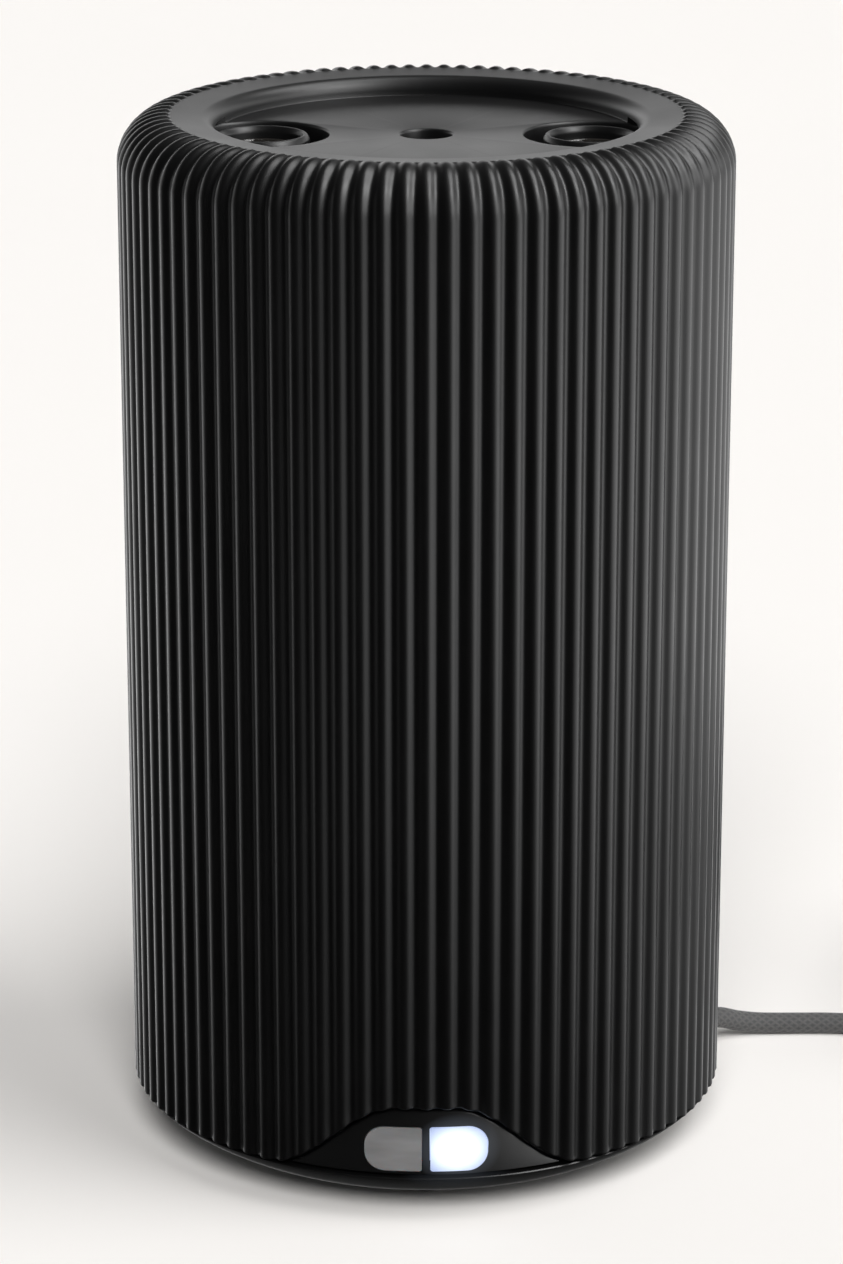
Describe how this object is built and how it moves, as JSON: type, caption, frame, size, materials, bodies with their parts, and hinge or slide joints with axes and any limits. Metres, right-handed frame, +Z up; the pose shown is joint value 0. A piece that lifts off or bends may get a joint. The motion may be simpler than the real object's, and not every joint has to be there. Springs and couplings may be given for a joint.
{
  "type": "fragrance diffuser",
  "caption": "Ribbed black cylinder with a dished two-port top, a hill-shaped front panel with a split lit button, a tapered base and a braided lead.",
  "frame": {"origin": "on the floor, under the middle of the base", "axes": "+Z up, -Y is the front with the buttons, +X is to the right seen from the front"},
  "size_m": [0.202, 0.131, 0.1732],
  "materials": {
    "cover": "satin moulded plastic",
    "dish": "satin moulded plastic",
    "base": "satin moulded plastic",
    "panel": "satin moulded plastic",
    "key_dim": "translucent, unlit",
    "key_lit": "translucent, lit from behind",
    "frame": "moulded plastic",
    "rotor": "moulded plastic",
    "copper": "enamelled copper wire",
    "steel": "plated steel",
    "bronze": "sintered bronze",
    "board": "solder mask",
    "chip": "moulded epoxy",
    "lamp": "clear resin",
    "glass": "clear",
    "oil": "liquid",
    "wick": "fibre",
    "foam": "open-cell foam",
    "rubber": "moulded rubber",
    "wire": "wire sheath",
    "braid": "braided textile sleeve",
    "adapter": "satin moulded plastic"
  },
  "bodies": {
    "base": {"base_tray": "base", "front_panel": "panel", "deck": "frame", "intake_filter": "foam", "panel_board": "board", "main_board": "board", "sensor_mast": "frame", "room_sensor": "chip", "supply_lead": "wire", "panel_lead": "wire", "cord_boot": "rubber", "cord": "braid", "cord_coil": "braid", "cord_tail": "braid", "adapter": "adapter", "blade_left": "steel", "blade_right": "steel", "adapter_boot": "rubber", "foot_1": "rubber", "base_screw_1": "steel", "foot_2": "rubber", "base_screw_2": "steel", "foot_3": "rubber", "base_screw_3": "steel", "foot_4": "rubber", "base_screw_4": "steel", "switch_left": "chip", "lamp_left": "lamp", "fan_frame_left": "frame", "fan_bush_left": "bronze", "fan_coil_left": "copper", "bay_left": "frame", "warmer_left": "steel", "vial_left": "glass", "vial_collar_left": "dish", "wick_left": "wick", "oil_left": "oil", "board_screw_left": "steel", "fan_lead_left": "wire", "switch_right": "chip", "lamp_right": "lamp", "fan_frame_right": "frame", "fan_bush_right": "bronze", "fan_coil_right": "copper", "bay_right": "frame", "warmer_right": "steel", "vial_right": "glass", "vial_collar_right": "dish", "wick_right": "wick", "oil_right": "oil", "board_screw_right": "steel", "fan_lead_right": "wire"},
    "cover": {"outer_cover": "cover", "top_dish": "dish"},
    "button_left": {"button_left": "key_dim"},
    "button_right": {"button_right": "key_lit"},
    "rotor_left": {"fan_rotor_left": "rotor"},
    "rotor_right": {"fan_rotor_right": "rotor"}
  },
  "joints": [
    {"name": "cover_lift", "type": "slide", "parent": "base", "child": "cover", "axis": [0, 0, 1], "range_m": [0, 0.17]},
    {"name": "button_left_press", "type": "slide", "parent": "base", "child": "button_left", "axis": [0, 1, 0], "range_m": [0, 0.0008], "stiffness_N_per_m": 300},
    {"name": "button_right_press", "type": "slide", "parent": "base", "child": "button_right", "axis": [0, 1, 0], "range_m": [0, 0.0008], "stiffness_N_per_m": 300},
    {"name": "fan_left_spin", "type": "hinge", "parent": "base", "child": "rotor_left", "pos_m": [-0.0266, 0, 0.03], "axis": [0, 0, 1], "continuous": true},
    {"name": "fan_right_spin", "type": "hinge", "parent": "base", "child": "rotor_right", "pos_m": [0.0266, 0, 0.03], "axis": [0, 0, 1], "continuous": true}
  ]
}
